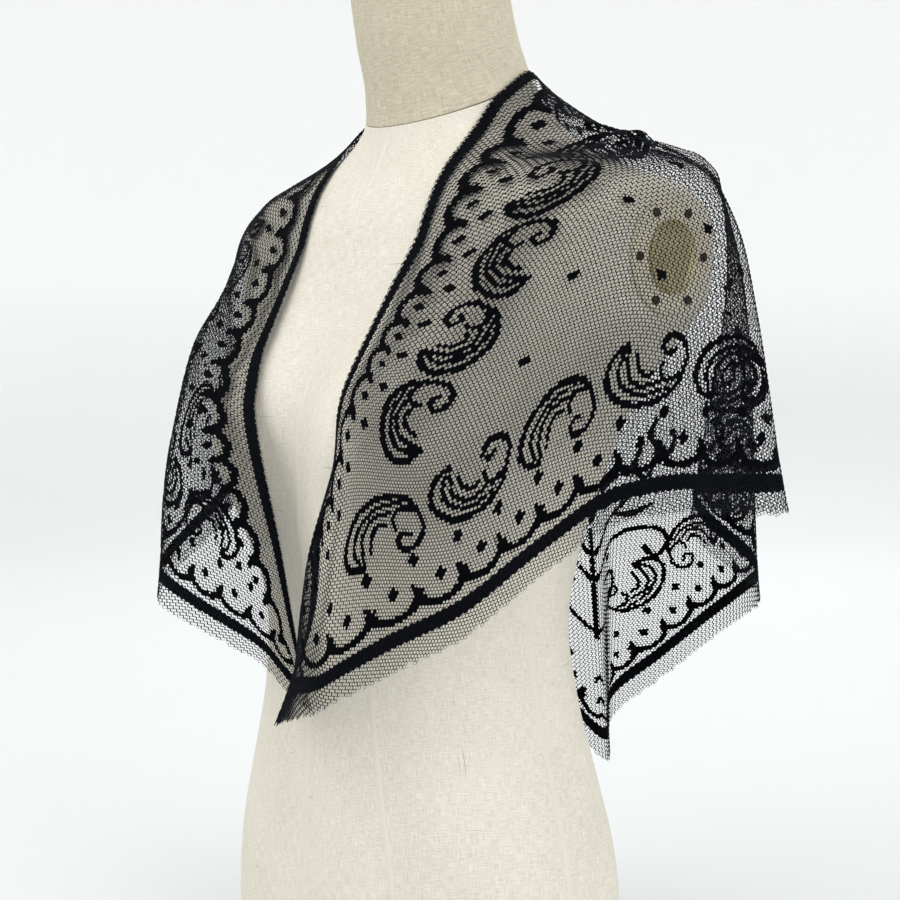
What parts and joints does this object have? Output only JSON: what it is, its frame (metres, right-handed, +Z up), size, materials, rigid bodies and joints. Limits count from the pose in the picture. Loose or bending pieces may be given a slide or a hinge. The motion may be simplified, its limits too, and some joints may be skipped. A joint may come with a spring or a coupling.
{
  "type": "triangle lace shawl on a limbless dress form",
  "caption": "Knitted lace triangle shawl worn open over a limbless linen dress form, with closely knitted bands along its neck edge and hem.",
  "frame": {"origin": "middle of the dress form's flat foot, on the surface it stands on", "axes": "+Z up, the form faces -Y, the wearer's left is +X"},
  "size_m": [0.455, 0.3372, 0.73],
  "materials": {
    "black_lace": "open knitted net, matt",
    "black_band": "close knit, matt",
    "body_linen": "plain-woven linen, matt",
    "neck_linen": "plain-woven linen, matt",
    "arm_plate": "painted, satin",
    "olive_cup": "dulled",
    "brown_screw": "browned"
  },
  "bodies": {
    "root": {"lace_triangle": "black_lace", "neck_band": "black_band", "right_hem_band": "black_band", "left_hem_band": "black_band", "form_torso": "body_linen", "form_neck": "neck_linen", "left_arm_plate": "arm_plate", "right_arm_plate": "arm_plate", "left_arm_cup": "olive_cup", "right_arm_cup": "olive_cup", "left_plate_screw_1": "brown_screw", "left_plate_screw_2": "brown_screw", "left_plate_screw_3": "brown_screw", "left_plate_screw_4": "brown_screw", "left_plate_screw_5": "brown_screw", "left_plate_screw_6": "brown_screw", "right_plate_screw_1": "brown_screw", "right_plate_screw_2": "brown_screw", "right_plate_screw_3": "brown_screw", "right_plate_screw_4": "brown_screw", "right_plate_screw_5": "brown_screw", "right_plate_screw_6": "brown_screw"}
  },
  "joints": []
}
